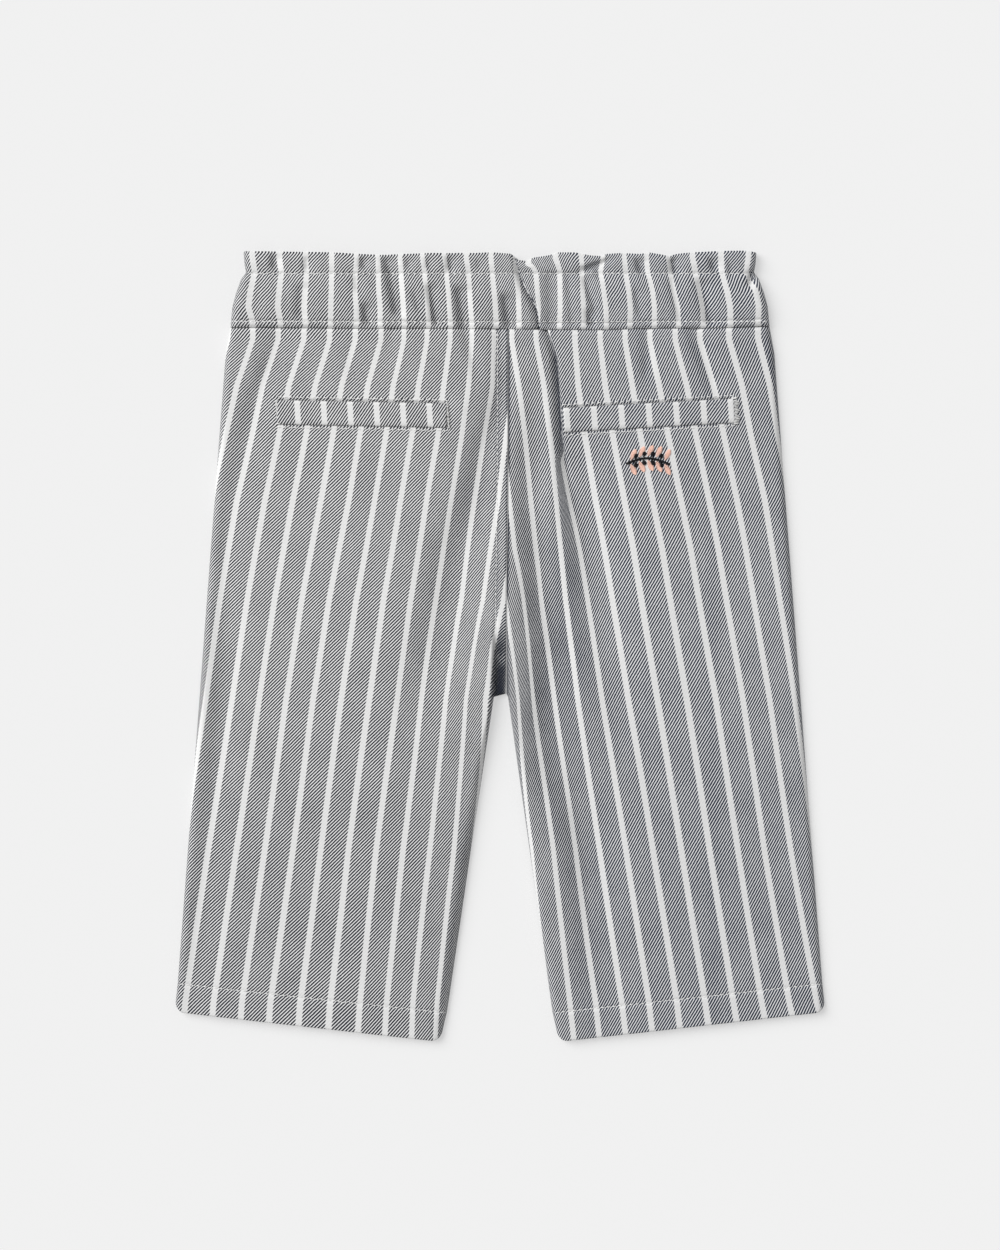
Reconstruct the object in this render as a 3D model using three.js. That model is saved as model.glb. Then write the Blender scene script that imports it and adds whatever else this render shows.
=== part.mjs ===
// Infant's pull-on trousers with a slightly flared leg, laid flat with the back uppermost.
// Millimetres, +Z up. z = 0 is the surface they lie on, +Y runs from the hems to the waist, and the
// wearer's left is at -X. The origin is under the middle of the garment's box.
// Every piece of cloth is a closed wall: an outer face, an inner face and a rim round its edge.
import * as THREE from 'three';

// ---- Driving dimensions ----
const length = 325;           // top of the heading to the lowest point of the hems
const headingDepth = 9.5;     // frill above the elastic's channel
const channelDepth = 22.5;    // elastic's channel, down to the waist seam
const hemDepth = 12;          // turned-up hem
const cloth = 1;              // wall of one ply
const hemCloth = 1.8;         // wall where the hem doubles the cloth
const waistCloth = 2;         // doubled waistband
const frontWaistTop = 2.4;    // upper face of the waistband's front half, with the elastic in it
const seamGap = 0.3;          // between pieces that are sewn together
const sideRoll = 4;           // how far in from its edge the upper layer rolls down
const legCrown = 4.8;         // height of the upper layer over a leg
const legPuff = 0.8;          // how much higher it stands in the middle of a leg
const hemSlope = 0.1125;      // rise of the hem towards the outseam
const outerCorner = 3.5;      // rounding of a hem's corner at the outseam
const innerCorner = 5;        // rounding of a hem's corner at the inseam
const forkY = -20.7;          // where the inseams meet the seat seam
const seatSeam = { top: 3.5, fork: 2.5 };   // x of the seat seam at its two ends
const welt = { deep: 10, columns: 30, rows: 3 };

// The rounded corner lifts the lowest point of a hem a little above its inner end.
const topY = length / 2;
const hemY = -length / 2 - innerCorner * (1 + hemSlope - Math.hypot(1, hemSlope));
const headingY = topY - headingDepth;
const waistSeamY = headingY - channelDepth;

// Half the garment's width, from the top edge down.
const outseam = [
  { y: topY, half: 105 },
  { y: headingY, half: 106.4 },
  { y: 141.5, half: 109.4 },
  { y: waistSeamY, half: 110.7 },
  { y: 119.5, half: 112.8 },
  { y: hemY, half: 134.3 },
];

// The inseam of each leg starts at the fork and leans outwards.
const legs = [
  { name: 'left', side: -1, forkX: -2.5, lean: 0.149 },
  { name: 'right', side: 1, forkX: 3.3, lean: 0.141 },
];

// Soft troughs pressed into the back: from one end to the other, how far the middle bows to the
// right, half width and depth.
const folds = [
  { x1: 18.5, y1: 134, x2: 26.5, y2: 85, bow: 1.5, half: 3.2, depth: 1.8 },    // tuck under the waistband
  { x1: 26.5, y1: 85, x2: 31, y2: 20, bow: 0, half: 5, depth: 1.1 },           // tuck running out
  { x1: 31, y1: 20, x2: 41, y2: -25, bow: 0, half: 7, depth: 0.6 },            // and fading
  { x1: 7, y1: 117, x2: -12, y2: 72, bow: -2, half: 5, depth: 1.1 },           // drag beside the seat seam
  { x1: -12, y1: 72, x2: -34, y2: 20, bow: -1, half: 6, depth: 0.9 },          // and on across the left leg
  { x1: 6.5, y1: 62, x2: 15.5, y2: -28, bow: 1, half: 5, depth: 1.2 },         // hollow inside the right thigh
  { x1: 15.5, y1: -28, x2: 28, y2: -85, bow: 0, half: 6, depth: 0.7 },         // and on down the right leg
  { x1: 70, y1: 128, x2: 84, y2: 104, bow: 0, half: 4, depth: 0.7 },           // short drag from the waist
];

// Height of the waistband's back half from the top edge down, and how much its gathers show.
const waistSection = [
  { y: topY, crown: 5.6, gather: 0.8 },
  { y: 160.5, crown: 6.6, gather: 0.9 },
  { y: 157, crown: 6.8, gather: 0.8 },
  { y: 154.6, crown: 6, gather: 0.5 },
  { y: headingY, crown: 5.4, gather: 0.3 },
  { y: 151.2, crown: 6.2, gather: 0.6 },
  { y: 146, crown: 7.3, gather: 0.9 },
  { y: 138, crown: 7, gather: 0.8 },
  { y: 133, crown: 6, gather: 0.4 },
  { y: waistSeamY + seamGap / 2, crown: 5.6, gather: 0.2 },
];
const gatherWaves = [
  { wave: 10.3, phase: 0.4, share: 0.6 },
  { wave: 15.1, phase: 2.1, share: 0.4 },
];
// A pleat in the waistband beside the seat seam runs into the tuck below it.
const waistPleat = { topX: 8.2, seamX: 16, half: 2.2, depth: 1.6, dip: 3 };

const pockets = [
  { name: 'left', x: -56.6, y: 95.3, wide: 70, tilt: -1.2 },
  { name: 'right', x: 61.1, y: 94.7, wide: 71, tilt: 3.2 },
];

// ---- Finish ----
const twill = new THREE.MeshStandardMaterial({ name: 'striped twill', color: 0xaeaeb1, roughness: 0.95, metalness: 0 });
const weltTwill = new THREE.MeshStandardMaterial({ name: 'welt twill', color: 0xb6b6b9, roughness: 0.95, metalness: 0 });

// ---- Outline ----
const mix = (from, to, share) => from + (to - from) * share;
const smooth = (share) => THREE.MathUtils.smoothstep(share, 0, 1);

function atHeight(table, y, column) {
  const below = table.findIndex((row) => row.y <= y);
  if (below < 1) return table[below < 0 ? table.length - 1 : 0][column];
  const [upper, lower] = [table[below - 1], table[below]];
  return mix(upper[column], lower[column], (upper.y - y) / (upper.y - lower.y));
}

const halfWidth = (y) => atHeight(outseam, y, 'half');
const seatSeamX = (y) => mix(seatSeam.top, seatSeam.fork, (waistSeamY - y) / (waistSeamY - forkY));

function innerEdge(leg, y) {
  return y >= forkY ? seatSeamX(y) + leg.side * seamGap / 2 : leg.forkX + leg.side * leg.lean * (forkY - y);
}

// ---- Rows and columns of a leg panel ----
// A row is a straight line across the leg that turns from level at the waist to the hem's slope.
function legRows(leg) {
  const levels = [];
  const upperRows = 12;
  const lowerRows = 6;
  const ledge = 0.5;
  const top = waistSeamY - seamGap / 2;
  for (let i = 0; i <= upperRows; i++) levels.push(mix(top, forkY, i / upperRows));
  for (let i = 0; i <= lowerRows; i++) levels.push(mix(forkY - ledge, hemY + hemDepth + ledge, i / lowerRows));
  levels.push(hemY + hemDepth, hemY + innerCorner, hemY + innerCorner / 3, hemY);
  return levels.map((y) => {
    const slope = hemSlope * (waistSeamY - y) / (waistSeamY - hemY);
    const inner = innerEdge(leg, y);
    const outerY = y + slope * (halfWidth(y) - Math.abs(inner));
    return {
      y,
      slope,
      inner,
      outer: leg.side * halfWidth(outerY),
      ply: y <= hemY + hemDepth ? hemCloth : cloth,
      seamRoll: smooth((forkY + 34 - y) / 34),     // the seat seam sinks towards the fork
    };
  });
}

// A column's share runs from the outseam (0) to the inner edge (1); turn is the angle of the rolled
// edge there, a right angle on the open part of the panel.
function rolledColumns(shares) {
  const turns = [0, 0.33, 0.67].map((part) => part * Math.PI / 2);
  return [
    ...turns.map((turn) => ({ share: 0, turn })),
    ...shares.map((share) => ({ share, turn: Math.PI / 2 })),
    ...turns.reverse().map((turn) => ({ share: 1, turn })),
  ];
}

const cornerRise = (distance, radius) => (
  distance < radius ? radius - Math.sqrt(radius ** 2 - (radius - distance) ** 2) : 0
);

function rowY(row, x) {
  const fade = Math.max(0, 1 - (row.y - hemY) / (2 * innerCorner));
  const corners = cornerRise(Math.abs(x - row.outer), outerCorner) + cornerRise(Math.abs(x - row.inner), innerCorner);
  return row.y + row.slope * Math.abs(x - row.inner) + fade * corners;
}

// ---- Height of the upper layer ----
function foldDepth(x, y) {
  return folds.reduce((sum, fold) => {
    const dx = fold.x2 - fold.x1;
    const dy = fold.y2 - fold.y1;
    const span = Math.hypot(dx, dy);
    const along = ((x - fold.x1) * dx + (y - fold.y1) * dy) / span;
    const nearest = THREE.MathUtils.clamp(along, 0, span);
    const across = ((y - fold.y1) * dx - (x - fold.x1) * dy) / span - fold.bow * Math.sin(Math.PI * nearest / span);
    const distance = Math.hypot(across, along - nearest);
    return sum + fold.depth * Math.exp(-((distance / fold.half) ** 2));
  }, 0);
}

function legHeight(row, x) {
  const share = (x - row.outer) / (row.inner - row.outer);
  const crown = legCrown + legPuff * Math.sin(Math.PI * THREE.MathUtils.clamp(share, 0, 1));
  return Math.max(crown - foldDepth(x, rowY(row, x)), row.ply + seamGap + row.ply);
}

// ---- Closed walls ----
// outer(i, j) and inner(i, j) give the two faces' points; the rim joins them all round.
function wall(columns, rows, outer, inner) {
  const points = [];
  for (const face of [outer, inner]) {
    for (let j = 0; j <= rows; j++) {
      for (let i = 0; i <= columns; i++) points.push(...face(i, j));
    }
  }
  const at = (layer, i, j) => (layer * (rows + 1) + j) * (columns + 1) + i;
  const triangles = [];
  const quad = (a, b, c, d) => triangles.push(a, b, c, a, c, d);
  for (let j = 0; j < rows; j++) {
    for (let i = 0; i < columns; i++) {
      quad(at(0, i, j), at(0, i, j + 1), at(0, i + 1, j + 1), at(0, i + 1, j));
      quad(at(1, i, j), at(1, i + 1, j), at(1, i + 1, j + 1), at(1, i, j + 1));
    }
  }
  for (let i = 0; i < columns; i++) {
    quad(at(0, i, 0), at(0, i + 1, 0), at(1, i + 1, 0), at(1, i, 0));
    quad(at(0, i, rows), at(1, i, rows), at(1, i + 1, rows), at(0, i + 1, rows));
  }
  for (let j = 0; j < rows; j++) {
    quad(at(0, 0, j), at(1, 0, j), at(1, 0, j + 1), at(0, 0, j + 1));
    quad(at(0, columns, j), at(0, columns, j + 1), at(1, columns, j + 1), at(1, columns, j));
  }
  const geometry = new THREE.BufferGeometry();
  geometry.setAttribute('position', new THREE.Float32BufferAttribute(points, 3));
  geometry.setIndex(triangles);
  geometry.computeVertexNormals();
  return geometry;
}

function piece(name, geometry, material) {
  const mesh = new THREE.Mesh(geometry, material);
  mesh.name = name;
  return mesh;
}

// Columns run from -X to +X on every piece, so that the outer face looks up.
const leftToRight = (leg, columns) => (leg.side < 0 ? columns : [...columns].reverse());

function backPanel(leg) {
  const rows = legRows(leg);
  const openShares = [0, 0.12, 0.24, 0.36, 0.46];
  for (let share = 0.55; share < 0.99; share += 0.045) openShares.push(share);
  const columns = leftToRight(leg, rolledColumns([...openShares, 1]));
  const face = (thickness) => (i, j) => {
    const row = rows[j];
    const { share, turn } = columns[i];
    const ply = thickness * row.ply;
    const rolled = sideRoll - (sideRoll - ply) * Math.cos(turn);
    const butted = sideRoll * (1 - Math.cos(turn));
    const outerX = row.outer - leg.side * rolled;
    const innerX = row.inner + leg.side * mix(butted, rolled, row.seamRoll);
    const x = mix(outerX, innerX, share);
    const lift = share < 1 ? Math.sin(turn) : mix(1, Math.sin(turn), row.seamRoll);
    const lip = row.ply + seamGap;
    return [x, rowY(row, x), mix(lip, legHeight(row, x) - ply, lift)];
  };
  return piece(`back_${leg.name}`, wall(columns.length - 1, rows.length - 1, face(0), face(1)), twill);
}

function frontPanel(leg) {
  const rows = legRows(leg);
  const shares = leftToRight(leg, [0, 0.02, 0.25, 0.5, 0.75, 0.98, 1]);
  const face = (upper) => (i, j) => {
    const row = rows[j];
    const x = mix(row.outer, row.inner, shares[i]);
    return [x, rowY(row, x), upper * row.ply];
  };
  return piece(`front_${leg.name}`, wall(shares.length - 1, rows.length - 1, face(1), face(0)), twill);
}

// ---- Waistband ----
const pleatX = (y) => mix(waistPleat.topX, waistPleat.seamX, (topY - y) / (topY - waistSeamY));
const pleat = (x, y) => Math.exp(-(((x - pleatX(y)) / waistPleat.half) ** 2));

function waistPoint(x, y) {
  const fall = smooth((y - headingY) / headingDepth);
  return y - fall * waistPleat.dip * pleat(x, y);
}

function waistHeight(x, y) {
  const gathers = gatherWaves.reduce((sum, g) => sum + g.share * Math.sin(2 * Math.PI * x / g.wave + g.phase), 0);
  const crown = atHeight(waistSection, y, 'crown') + atHeight(waistSection, y, 'gather') * gathers;
  return Math.max(crown - waistPleat.depth * pleat(x, y), frontWaistTop + seamGap + waistCloth);
}

function waistbandBack() {
  const openColumns = 62;
  const shares = Array.from({ length: openColumns + 1 }, (_, i) => i / openColumns);
  const columns = rolledColumns(shares);
  const face = (thickness) => (i, j) => {
    const { y } = waistSection[j];
    const { share, turn } = columns[i];
    const ply = thickness * waistCloth;
    const reach = halfWidth(y) - sideRoll + (sideRoll - ply) * Math.cos(turn);
    const x = mix(-reach, reach, share);
    const lip = frontWaistTop + seamGap;
    return [x, waistPoint(x, y), mix(lip, waistHeight(x, y) - ply, Math.sin(turn))];
  };
  return piece('waistband_back', wall(columns.length - 1, waistSection.length - 1, face(0), face(1)), twill);
}

function waistbandFront() {
  const columns = 14;
  const face = (z) => (i, j) => {
    const { y } = waistSection[j];
    const x = mix(-halfWidth(y), halfWidth(y), i / columns);
    return [x, waistPoint(x, y), z];
  };
  const rows = waistSection.length - 1;
  return piece('waistband_front', wall(columns, rows, face(frontWaistTop), face(0)), twill);
}

// ---- Pocket welts: strips that lie on the back, made from its points moved out ----
function surfaceHeight(panel, x, y) {
  const ray = new THREE.Raycaster(new THREE.Vector3(x, y, 100), new THREE.Vector3(0, 0, -1));
  return ray.intersectObject(panel)[0].point.z;
}

function pocketWelt(pocket, panel) {
  const tilt = THREE.MathUtils.degToRad(pocket.tilt);
  const face = (thickness) => (i, j) => {
    const across = (i / welt.columns - 0.5) * pocket.wide;
    const up = (0.5 - j / welt.rows) * welt.deep;
    const x = pocket.x + across * Math.cos(tilt) - up * Math.sin(tilt);
    const y = pocket.y + across * Math.sin(tilt) + up * Math.cos(tilt);
    return [x, y, surfaceHeight(panel, x, y) + seamGap + thickness];
  };
  return piece(`welt_${pocket.name}`, wall(welt.columns, welt.rows, face(cloth), face(0)), weltTwill);
}

// ---- The garment ----
const trousers = new THREE.Group();
legs.forEach((leg, index) => {
  const back = backPanel(leg);
  trousers.add(frontPanel(leg), back, pocketWelt(pockets[index], back));
});
trousers.add(waistbandFront(), waistbandBack());

export default trousers;
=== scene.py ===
"""An infant's pull-on trousers in striped twill, slightly flared, laid flat with the back uppermost.

Sizes are in millimetres and are turned to metres as each mesh is made. The wearer's left is at -X,
the waist at +Y, and z = 0 is the surface that the trousers lie on.
"""
import math

import bmesh
import bpy
import numpy as np
from mathutils import Matrix, Vector
from mathutils.bvhtree import BVHTree


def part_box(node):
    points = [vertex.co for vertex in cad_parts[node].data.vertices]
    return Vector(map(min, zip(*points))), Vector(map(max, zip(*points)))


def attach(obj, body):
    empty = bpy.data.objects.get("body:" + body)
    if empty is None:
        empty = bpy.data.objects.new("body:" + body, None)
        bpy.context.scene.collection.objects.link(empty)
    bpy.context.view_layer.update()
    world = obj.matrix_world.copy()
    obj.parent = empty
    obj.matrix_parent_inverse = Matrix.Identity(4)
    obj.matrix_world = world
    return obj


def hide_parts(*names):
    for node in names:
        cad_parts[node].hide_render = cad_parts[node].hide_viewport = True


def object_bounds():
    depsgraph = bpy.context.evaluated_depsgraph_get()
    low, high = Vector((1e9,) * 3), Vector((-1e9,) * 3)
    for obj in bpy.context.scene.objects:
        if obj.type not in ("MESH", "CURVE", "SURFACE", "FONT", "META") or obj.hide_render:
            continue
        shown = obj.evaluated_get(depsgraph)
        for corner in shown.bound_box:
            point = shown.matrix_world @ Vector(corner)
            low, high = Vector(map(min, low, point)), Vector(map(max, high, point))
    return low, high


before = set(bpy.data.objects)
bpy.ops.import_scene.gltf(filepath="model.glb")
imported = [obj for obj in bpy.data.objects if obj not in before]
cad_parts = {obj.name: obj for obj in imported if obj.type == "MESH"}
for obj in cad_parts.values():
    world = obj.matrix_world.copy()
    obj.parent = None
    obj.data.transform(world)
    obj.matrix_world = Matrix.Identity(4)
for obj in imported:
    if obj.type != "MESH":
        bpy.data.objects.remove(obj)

cad_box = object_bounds()
mm = 0.001
scene = bpy.context.scene

# ---- Surface, camera and light ----
# A plain pale table under soft daylight that comes from the upper left, seen from straight above.
view_tall = 512.5             # stretch of the table from the view's bottom edge to its top
view_y = 8.8                  # the view's middle lies a little towards the waist
lens, sensor = 100, 36
cloth_high = 5                # the view has its full scale at this height
camera_height = view_tall * mm * lens / sensor + cloth_high * mm

camera = bpy.data.objects.new("camera", bpy.data.cameras.new("camera"))
camera.data.lens = lens
camera.data.sensor_width = sensor
camera.data.clip_end = 20
camera.location = (0, view_y * mm, camera_height)
scene.collection.objects.link(camera)
scene.camera = camera
scene.view_settings.view_transform = "Standard"

table = bmesh.new()
bmesh.ops.create_grid(table, x_segments=1, y_segments=1, size=3)
floor_mesh = bpy.data.meshes.new("table_top")
table.to_mesh(floor_mesh)
table.free()
floor = bpy.data.objects.new("table_top", floor_mesh)
scene.collection.objects.link(floor)
floor_paint = bpy.data.materials.new("pale_table")
floor_paint.use_nodes = True
floor_shader = floor_paint.node_tree.nodes["Principled BSDF"]
floor_shader.inputs["Base Color"].default_value = (0.40, 0.40, 0.40, 1)
floor_shader.inputs["Emission Color"].default_value = (1, 1, 1, 1)
floor_shader.inputs["Emission Strength"].default_value = 0.47      # the table is lit from under it too
floor_shader.inputs["Roughness"].default_value = 1
floor_shader.inputs["Specular IOR Level"].default_value = 0
floor_mesh.materials.append(floor_paint)

sky = bpy.data.worlds.new("soft_daylight")
sky.use_nodes = True
sky.node_tree.nodes["Background"].inputs["Color"].default_value = (1, 1, 1, 1)
sky.node_tree.nodes["Background"].inputs["Strength"].default_value = 0.38
scene.world = sky

window = bpy.data.objects.new("window", bpy.data.lights.new("window", "SUN"))
window.data.energy = 3.0
window.data.angle = math.radians(50)
window.rotation_euler = (math.radians(-24), math.radians(-43), 0)
scene.collection.objects.link(window)


# ---- Cloth ----
# Cotton twill: navy and white ribs at about 51 degrees to the weft, broken by white stripes that run
# with the grain. The pattern is laid by each piece's own map, in metres across and along the grain.
class Socket:
    """An output socket that can be written in sums. make() adds any other node."""

    def __init__(self, tree, link=None):
        self.tree = tree
        self.link = link

    def make(self, kind, settings, inputs, output=0):
        node = self.tree.nodes.new(kind)
        for name, value in settings.items():
            setattr(node, name, value)
        for name, value in inputs.items():
            if isinstance(value, Socket):
                self.tree.links.new(value.link, node.inputs[name])
            else:
                node.inputs[name].default_value = value
        return Socket(self.tree, node.outputs[output])

    def maths(self, operation, first, second=0.0):
        return self.make("ShaderNodeMath", {"operation": operation}, {0: first, 1: second})

    def __add__(self, other):
        return self.maths("ADD", self, other)

    def __sub__(self, other):
        return self.maths("SUBTRACT", self, other)

    def __rsub__(self, other):
        return self.maths("SUBTRACT", other, self)

    def __mul__(self, other):
        return self.maths("MULTIPLY", self, other)

    def __truediv__(self, other):
        return self.maths("DIVIDE", self, other)

    def __abs__(self):
        return self.maths("ABSOLUTE", self)

    def axis(self, number):
        return self.make("ShaderNodeSeparateXYZ", {}, {0: self}, number)

    def fraction(self):
        return self.maths("FRACT", self)

    def sine(self):
        return self.maths("SINE", self)

    def ramp(self, low, high):
        """0 up to low, 1 from high on, and a soft step between."""
        return self.make("ShaderNodeMapRange", {"interpolation_type": "SMOOTHSTEP"},
                         {"Value": self, "From Min": low, "From Max": high})

    def noise(self, scale, detail):
        return self.make("ShaderNodeTexNoise", {}, {"Vector": self, "Scale": scale, "Detail": detail})

    def shade(self, first, second):
        """The colour first where this is 0 and second where it is 1. Either may be a socket."""
        ends = [end if isinstance(end, Socket) else (*end, 1) for end in (first, second)]
        return self.make("ShaderNodeMix", {"data_type": "RGBA"}, {"Factor": self, 6: ends[0], 7: ends[1]}, 2)

    def tones(self, dye, low, high):
        """One dye, from low times its colour up to high times it."""
        return self.shade([low * part for part in dye], [high * part for part in dye])


def new_material(name):
    """A material, its shader and a first socket to build from."""
    material = bpy.data.materials.new(name)
    material.use_nodes = True
    return material, material.node_tree.nodes["Principled BSDF"], Socket(material.node_tree)


stripe_pitch = 11.6           # from one white stripe to the next
stripe_white = 2.7            # width of a white stripe
stripe_edge = {"soft": 0.15, "ribs": 0.6}    # how soft a stripe's edge is, and how far the ribs step it
rib_pitch = 1.02              # from one rib of the twill to the next
rib_angle = math.radians(51.3)
navy_share = 0.61             # of each rib's width
rib_edge = {"soft": 0.13, "slub": 0.22, "yarns": 0.08, "patches": 0.15}    # how soft it is, and what moves it
navy_dye = {"left": (0.028, 0.031, 0.042), "right": (0.022, 0.031, 0.054)}
# The second undyed tone is painted shade, for the parts of the cloth that lie less in the light.
undyed = {"plain": (0.79, 0.79, 0.785), "in_painted_shade": (0.70, 0.70, 0.70)}
yarn_pitch = 0.36             # of the warp, which breaks each rib's edge into steps


def twill(name):
    cloth, shader, start = new_material(name)
    place = start.make("ShaderNodeUVMap", {"uv_map": "cut"}, {})
    across, along = (place.axis(number) / mm for number in (0, 1))
    slub = place.noise(900, 3)
    patch = place.noise(60, 2)
    # Painted shade: the undyed yarn is greyer, and a little more navy shows, towards the wearer's right and
    # down the legs, which lie less in the light. The navy is also a little bluer towards the wearer's right.
    spot = start.make("ShaderNodeTexCoord", {}, {}, 3)
    rightwards = spot.axis(0)
    downwards = spot.axis(1).ramp(0.04, -0.11)
    in_painted_shade = rightwards.ramp(-0.07, 0.09) * 0.55 + downwards * 0.38
    bluer = rightwards.ramp(-0.03, 0.06)
    # Painted shade: more navy shows in the folds, creases, seams and the crotch hollow, where they lie in
    # shade.
    painted_shade = start.make("ShaderNodeAttribute", {"attribute_name": "painted_shade"}, {}, 2)
    share = rightwards * 0.15 + downwards * 0.03 + painted_shade + navy_share

    rib = (along * math.cos(rib_angle) - across * math.sin(rib_angle)) / rib_pitch
    rib = rib + (slub - 0.5) * rib_edge["slub"]
    crest = abs(rib.fraction() - 0.5) * 2
    yarns = (across * (2 * math.pi / yarn_pitch)).sine()
    edge = 1 - share + yarns * rib_edge["yarns"] + (patch - 0.5) * rib_edge["patches"]
    navy_rib = (crest - edge).ramp(-rib_edge["soft"], rib_edge["soft"])

    off_stripe = abs((across / stripe_pitch + 0.5).fraction() - 0.5) * stripe_pitch
    ground = (off_stripe + (crest - 0.5) * stripe_edge["ribs"]).ramp(
        stripe_white / 2 - stripe_edge["soft"], stripe_white / 2 + stripe_edge["soft"])

    plain, painted_shade_white = (slub.tones(white, 0.90, 1.06) for white in undyed.values())
    near, far = (slub.tones(navy, 0.6, 1.5) for navy in navy_dye.values())
    colour = (navy_rib * ground).shade(in_painted_shade.shade(plain, painted_shade_white), bluer.shade(near, far))
    # Each rib leans over its lower side, so that the undyed side faces the light.
    relief = (rib * (2 * math.pi)).sine() * (ground * 0.35 + 0.15) + slub * 0.2
    bump = place.make("ShaderNodeBump", {}, {"Strength": 1.0, "Distance": 0.00010, "Height": relief})
    cloth.node_tree.links.new(colour.link, shader.inputs["Base Color"])
    cloth.node_tree.links.new(bump.link, shader.inputs["Normal"])
    shader.inputs["Roughness"].default_value = 0.92
    shader.inputs["Specular IOR Level"].default_value = 0.25
    shader.inputs["Sheen Weight"].default_value = 0.12
    shader.inputs["Sheen Roughness"].default_value = 0.5
    return cloth


striped_twill = twill("striped_twill")

# ---- Front panels ----
# The two fronts lie face down on the table under the backs. Each is one ply of twill with a 12 mm hem
# turned up inside, and its edges curl up a little to meet the back at the side seam and the inseam.
ply = 0.5                     # thickness of the twill
hem_y = cad_box[0].y / mm
waist_seam_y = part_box("front_left")[1].y / mm
fork_y = -20.7
hem_depth = 12
hem_slope = 0.1125
hem_curl = 0.65               # half the thickness of a turned-up hem
fold_y = hem_y + hem_curl
corner = {"outer": 3.5, "inner": 5.0}
side_roll = 2.8               # how far in from the outseam a panel curls
fork_roll = 1.5               # how far in from its edge a leg curls just below the fork
seam_height = 1.4             # of the side seam above the table
seam_gap = 0.1                # half the gap between two pieces at a seam
legs = {
    "left": {"side": -1, "fork_x": -2.5, "lean": 0.149, "hem_roll": 4.8, "seat_roll": 0.4},
    "right": {"side": 1, "fork_x": 3.3, "lean": 0.141, "hem_roll": 2.8, "seat_roll": 1.4},
}
waist_wave = {                # how far the waist seam rises above its middle height, and what moves with it
    "x": (-110, -95, -65, 0, 20, 44, 60, 90, 110), "rise": (0.5, 0.5, 0, -0.1, -0.5, -0.6, 0, 0.2, 1.1),
    "reach": 12,
}
fork_blend = {"below": 50, "above": 18, "joint": 1.6}       # how far from the fork the legs' edges change
front_seam = {"deep": 0.2, "reach": 0.7}      # groove of the front's hem stitching
front_seat_rise = 0.5
fork_gap = 0.05               # half the gap between the rows just above and just below the fork
outseam = {                   # half the garment's width, from the top edge down
    "y": (162.5, 157.0, 153.5, 151.0, 145.0, 139.0, 130.5, 119.5, -162.5),
    "half": (105.3, 104.9, 104.3, 106.2, 108.4, 109.9, 110.7, 112.8, 134.3),
}
seat_seam = {"y": (130.5, 60, 23, -20.7), "x": (3.3, 3.2, 2.6, 2.6)}
# The stripes, counted from the outseam of the left leg and from the middle of the right one, and where
# they cross each row. A tuck in the right back hides some cloth, so that leg is counted on both sides.
stripe_rows = {
    "left": {
        "stripe": (0, 3, 6, 8, 9, 10, 11),
        "rows": {
            125.7: (-80.4, -48.8, -20.5, -2.5, 6.6, 15.6, 27.2),
            107.2: (-86.5, -54.1, -23.0, -3.1, 6.6, 16.0, 27.6),
            86.7: (-90.6, -57.4, -25.4, -6.4, 2.9, 12.3, 23.9),
            60.1: (-96.4, -61.9, -30.3, -10.3, -0.4, 8.6, 20.2),
            19.1: (-103.7, -70.1, -36.9, -15.6, -7.0, 1.4, 13.0),
            -1.4: (-106.8, -73.4, -39.6, -19.0, -10.8, -3.7, 7.9),
            -21.9: (-109.9, -76.7, -42.2, -22.1, -14.0, -6.3, 5.3),
            -83.4: (-119.7, -84.9, -50.8, -28.7, -18.9, -9.4, 2.2),
            -146.2: (-129.2, -94.3, -57.4, -35.7, -25.8, -16.8, -5.2),
            -162.5: (-130.4, -95.5, -58.6, -36.3, -26.5, -17.6, -6.0),
        },
    },
    "right": {
        "stripe": (-2, -1, 0, 3, 5, 7),
        "rows": {
            125.7: (9.6, 19.2, 30.8, 61.5, 82.0, 105.8),
            107.2: (11.1, 21.3, 32.0, 65.2, 87.7, 110.7),
            86.7: (13.1, 22.6, 34.9, 68.9, 91.8, 114.0),
            60.1: (19.0, 28.3, 39.4, 74.2, 97.2, 120.1),
            39.6: (23.0, 32.8, 43.1, 78.3, 100.9, 122.6),
            19.1: (26.0, 36.1, 46.3, 81.6, 104.1, 125.5),
            -21.9: (32.0, 42.0, 52.7, 88.6, 110.7, 131.2),
            -83.4: (41.0, 51.7, 62.7, 97.6, 119.3, 140.2),
            -146.2: (50.0, 61.1, 72.6, 107.4, 130.0, 152.9),
            -162.5: (51.9, 62.9, 74.4, 110.7, 134.5, 158.3),
        },
    },
    "right, inside the tuck": {
        "stripe": (-5, -4, -3, -2, -1, 0),
        "rows": {
            125.7: (-14.4, -4.9, 4.9, 14.8, 24.6, 34.4),
            107.2: (-11.9, -2.3, 7.8, 18.0, 28.3, 38.5),
            86.7: (-9.0, 0.4, 10.3, 20.5, 30.8, 41.0),
            60.1: (-5.3, 3.7, 12.7, 23.0, 33.2, 43.5),
            39.6: (-2.9, 5.7, 14.8, 25.0, 35.3, 45.9),
            19.1: (1.8, 9.4, 17.0, 27.1, 37.3, 48.0),
            -21.9: (7.2, 13.5, 22.6, 32.0, 42.0, 52.7),
            -83.4: (12.7, 21.7, 31.2, 41.0, 51.7, 62.7),
            -146.2: (18.5, 28.7, 39.4, 50.0, 61.1, 72.6),
            -162.5: (20.1, 30.5, 40.9, 51.9, 62.9, 74.4),
        },
    },
}
grain_lean = math.radians(8.5)


def mix(first, second, share):
    return first + (second - first) * share


def smooth(share):
    share = np.clip(share, 0, 1)
    return share * share * (3 - 2 * share)


def step(distance, soft):
    """0 well before and 1 well past a line, turning over about the distance soft."""
    return 1 / (1 + np.exp(-np.clip(distance / soft, -60, 60)))


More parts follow.
